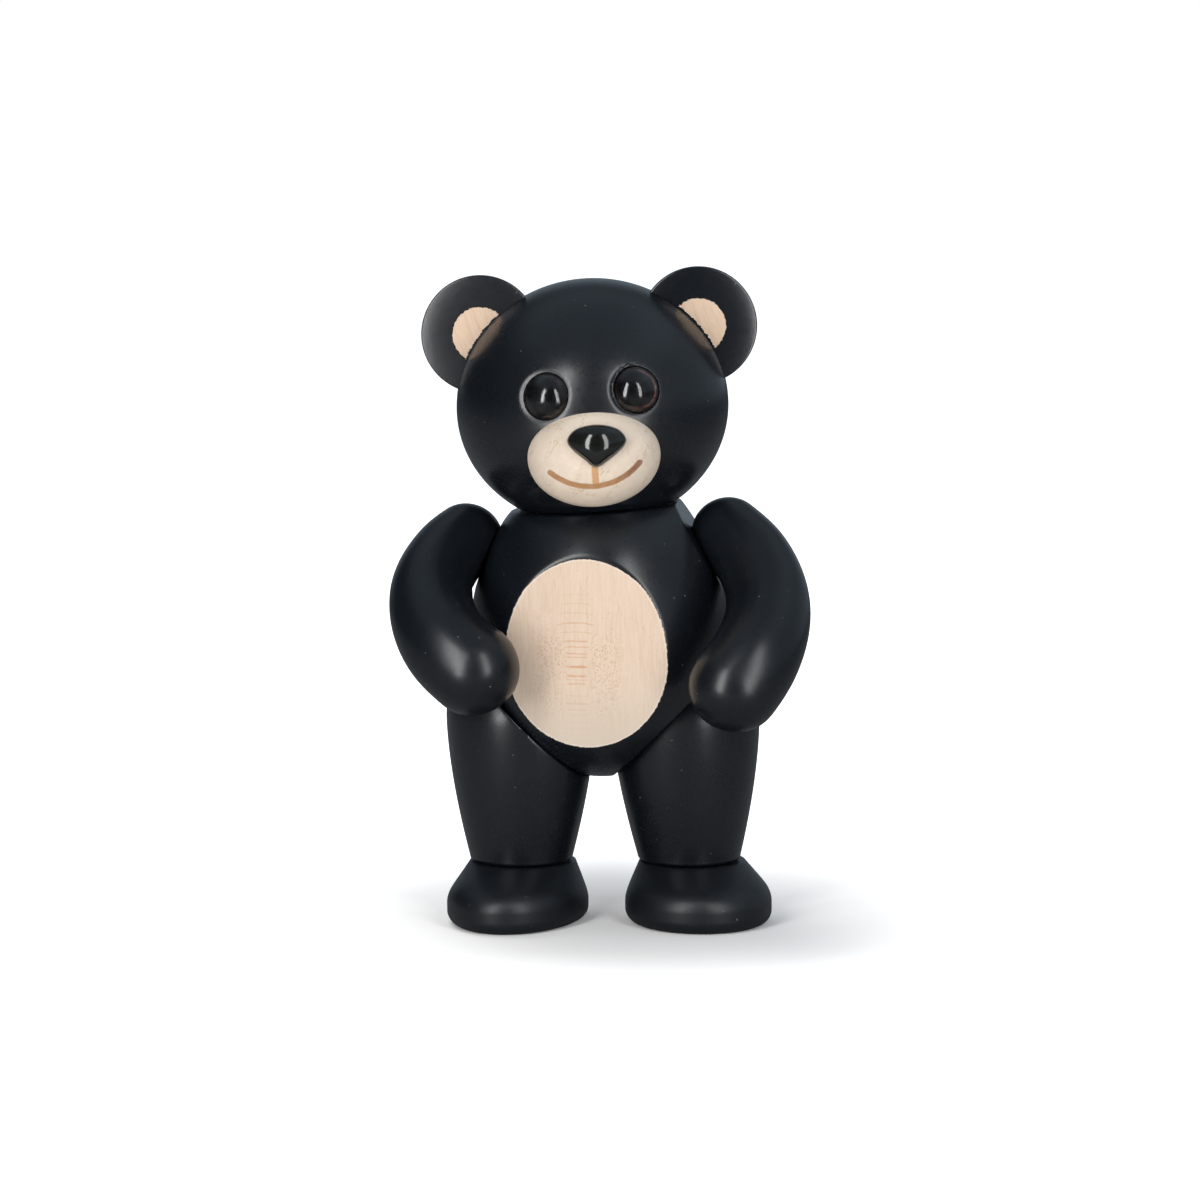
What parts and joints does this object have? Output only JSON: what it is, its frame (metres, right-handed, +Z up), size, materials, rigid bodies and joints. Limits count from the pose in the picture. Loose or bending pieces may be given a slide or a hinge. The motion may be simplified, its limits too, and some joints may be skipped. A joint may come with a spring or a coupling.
{
  "type": "wooden bear figurine",
  "caption": "Standing bear of turned and carved wood, painted satin black, with a bare wood muzzle, belly and ear patches, domed eyes and a glossy nose.",
  "frame": {"origin": "on the ground under the middle of the figure's box, at the height of the soles", "axes": "+Z up, -Y the way the bear looks, +X towards the bear's left side"},
  "size_m": [0.0948, 0.0754, 0.1498],
  "materials": {
    "black_paint": "satin black paint over turned wood",
    "bare_wood": "sanded pale maple with short brown flecks",
    "nose_lacquer": "glossy black lacquer",
    "eye_glass": "clear dome over a dark brown and black back"
  },
  "bodies": {
    "root": {"head": "black_paint", "left_ear": "black_paint", "right_ear": "black_paint", "muzzle": "bare_wood", "nose": "nose_lacquer", "left_eye": "eye_glass", "right_eye": "eye_glass", "torso": "black_paint", "left_arm": "black_paint", "right_arm": "black_paint", "left_leg": "black_paint", "left_foot": "black_paint", "right_leg": "black_paint", "right_foot": "black_paint"}
  },
  "joints": []
}
